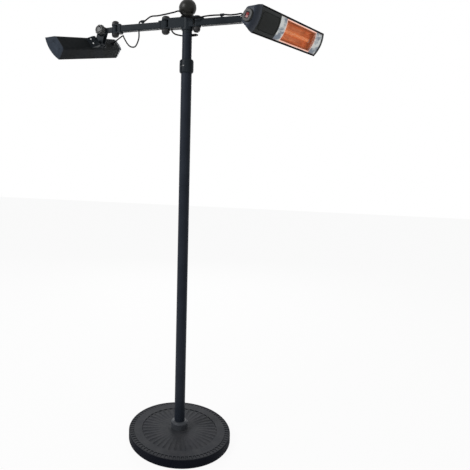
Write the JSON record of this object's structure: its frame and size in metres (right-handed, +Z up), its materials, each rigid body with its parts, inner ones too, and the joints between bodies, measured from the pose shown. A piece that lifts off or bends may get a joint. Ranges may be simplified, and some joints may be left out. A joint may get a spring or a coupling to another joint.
{
  "type": "infrared heater",
  "caption": "Free-standing infrared heater: long lamp heads on swinging, tilting arms at the top of a telescoping pole with a heavy round base.",
  "frame": {"origin": "centre of the base's underside, on the floor and on the pole's axis", "axes": "+Z up the pole; +X along the right arm at rest; the left arm points along -X; -Y towards the side that the picture shows"},
  "size_m": [1.1674, 0.6431, 2.1303],
  "materials": {
    "cast_iron_coat": "satin charcoal coat on a cast top with pressed flutes",
    "black_coat": "satin black powder coat, slightly blue",
    "ball_coat": "half-gloss black",
    "moulded_plastic": "fine-grained black moulding",
    "lead_rubber": "matt black",
    "zinc_steel": "zinc plated",
    "ballast_concrete": "rough grey cast concrete",
    "polished_aluminium": "bright rolled sheet, slightly hazy",
    "guard_steel": "bright steel wire that picks up the lamp's orange",
    "lamp_tube": "ruby-coated quartz tube, lit",
    "lamp_ceramic": "unglazed off-white",
    "switch_red": "translucent red"
  },
  "bodies": {
    "base": {"base_casting": "cast_iron_coat", "base_plate": "zinc_steel", "base_ballast": "ballast_concrete", "base_socket": "black_coat", "foot_bolt": "zinc_steel", "pole_lower": "black_coat", "pole_middle": "black_coat", "pole_upper": "black_coat", "mains_gland": "lead_rubber", "clamp_collar": "black_coat", "clamp_screw": "zinc_steel", "guide_bush": "moulded_plastic"},
    "glide": {"mast_glide": "moulded_plastic"},
    "mast": {"mast_tube": "black_coat", "mast_post": "black_coat", "ball_cap": "ball_coat", "left_bracket": "black_coat", "right_bracket": "black_coat", "top_lead": "lead_rubber", "under_lead": "lead_rubber"},
    "left_arm": {"left_arm": "black_coat", "left_fork": "black_coat", "left_inner_bolt": "black_coat", "left_outer_bolt": "black_coat", "left_lead_loop": "lead_rubber"},
    "left_swivel": {"left_swivel": "black_coat"},
    "left_tilt": {"left_yoke": "black_coat"},
    "left_knob": {"left_tilt_knob": "moulded_plastic"},
    "left_head": {"left_head_bracket": "black_coat", "left_housing": "black_coat", "left_gland": "lead_rubber", "left_plain_cap": "moulded_plastic", "left_service_cap": "moulded_plastic", "left_service_panel": "moulded_plastic", "left_reflector": "polished_aluminium", "left_grille": "guard_steel", "left_lamp": "lamp_tube", "left_plain_lamp_holder": "lamp_ceramic", "left_service_lamp_holder": "lamp_ceramic"},
    "left_switch": {"left_rocker": "switch_red"},
    "right_arm": {"right_arm": "black_coat", "right_fork": "black_coat", "right_inner_bolt": "black_coat", "right_outer_bolt": "black_coat", "right_lead_loop": "lead_rubber"},
    "right_swivel": {"right_swivel": "black_coat"},
    "right_tilt": {"right_yoke": "black_coat"},
    "right_knob": {"right_tilt_knob": "moulded_plastic"},
    "right_head": {"right_head_bracket": "black_coat", "right_housing": "black_coat", "right_gland": "lead_rubber", "right_plain_cap": "moulded_plastic", "right_service_cap": "moulded_plastic", "right_service_panel": "moulded_plastic", "right_reflector": "polished_aluminium", "right_grille": "guard_steel", "right_lamp": "lamp_tube", "right_plain_lamp_holder": "lamp_ceramic", "right_service_lamp_holder": "lamp_ceramic"},
    "right_switch": {"right_rocker": "switch_red"}
  },
  "joints": [
    {"name": "mast_slide", "type": "slide", "parent": "base", "child": "glide", "axis": [0, 0, 1], "range_m": [-0.08, 0.24]},
    {"name": "mast_swivel", "type": "hinge", "parent": "glide", "child": "mast", "pos_m": [0, 0, 1.42], "axis": [0, 0, 1], "range_deg": [-170, 170]},
    {"name": "left_arm_swing", "type": "hinge", "parent": "mast", "child": "left_arm", "pos_m": [-0.107, 0, 2.0165], "axis": [0, 0, 1], "range_deg": [-60, 60], "deforming": ["top_lead"]},
    {"name": "left_head_swivel", "type": "hinge", "parent": "left_arm", "child": "left_swivel", "pos_m": [-0.371, 0, 2.0165], "axis": [0, 0, 1], "range_deg": [-60, 60], "deforming": ["left_lead_loop"]},
    {"name": "left_head_tilt", "type": "hinge", "parent": "left_swivel", "child": "left_tilt", "pos_m": [-0.44514, 0.01134, 2.0165], "axis": [-0.1513, -0.9885, 0], "range_deg": [-25, 55], "deforming": ["left_lead_loop"]},
    {"name": "left_knob_turn", "type": "hinge", "parent": "left_tilt", "child": "left_knob", "pos_m": [-0.44514, 0.01134, 2.0165], "axis": [-0.1513, -0.9885, 0], "continuous": true},
    {"name": "left_head_turn", "type": "hinge", "parent": "left_tilt", "child": "left_head", "pos_m": [-0.47436, 0.01582, 1.95875], "axis": [-0.8612, 0.1318, -0.4909], "range_deg": [-30, 30], "deforming": ["left_lead_loop"]},
    {"name": "left_switch_rock", "type": "hinge", "parent": "left_head", "child": "left_switch", "pos_m": [-0.49251, 0.28095, 2.00525], "axis": [0.8612, -0.1318, 0.4909], "range_deg": [0, 16]},
    {"name": "right_arm_swing", "type": "hinge", "parent": "mast", "child": "right_arm", "pos_m": [0.046, 0, 2.0165], "axis": [0, 0, 1], "range_deg": [-60, 60], "deforming": ["top_lead"]},
    {"name": "right_head_swivel", "type": "hinge", "parent": "right_arm", "child": "right_swivel", "pos_m": [0.31, 0, 2.0165], "axis": [0, 0, 1], "range_deg": [-60, 60], "deforming": ["right_lead_loop"]},
    {"name": "right_head_tilt", "type": "hinge", "parent": "right_swivel", "child": "right_tilt", "pos_m": [0.37934, -0.02858, 2.0165], "axis": [0.3811, 0.9245, 0], "range_deg": [-25, 55], "deforming": ["right_lead_loop"]},
    {"name": "right_knob_turn", "type": "hinge", "parent": "right_tilt", "child": "right_knob", "pos_m": [0.37934, -0.02858, 2.0165], "axis": [0.3811, 0.9245, 0], "continuous": true},
    {"name": "right_head_turn", "type": "hinge", "parent": "right_tilt", "child": "right_head", "pos_m": [0.40979, -0.04113, 1.96061], "axis": [0.831, -0.3425, -0.4384], "range_deg": [-30, 30], "deforming": ["right_lead_loop"]},
    {"name": "right_switch_rock", "type": "hinge", "parent": "right_head", "child": "right_switch", "pos_m": [0.32759, -0.2974, 1.94171], "axis": [-0.831, 0.3425, 0.4384], "range_deg": [0, 16]}
  ]
}
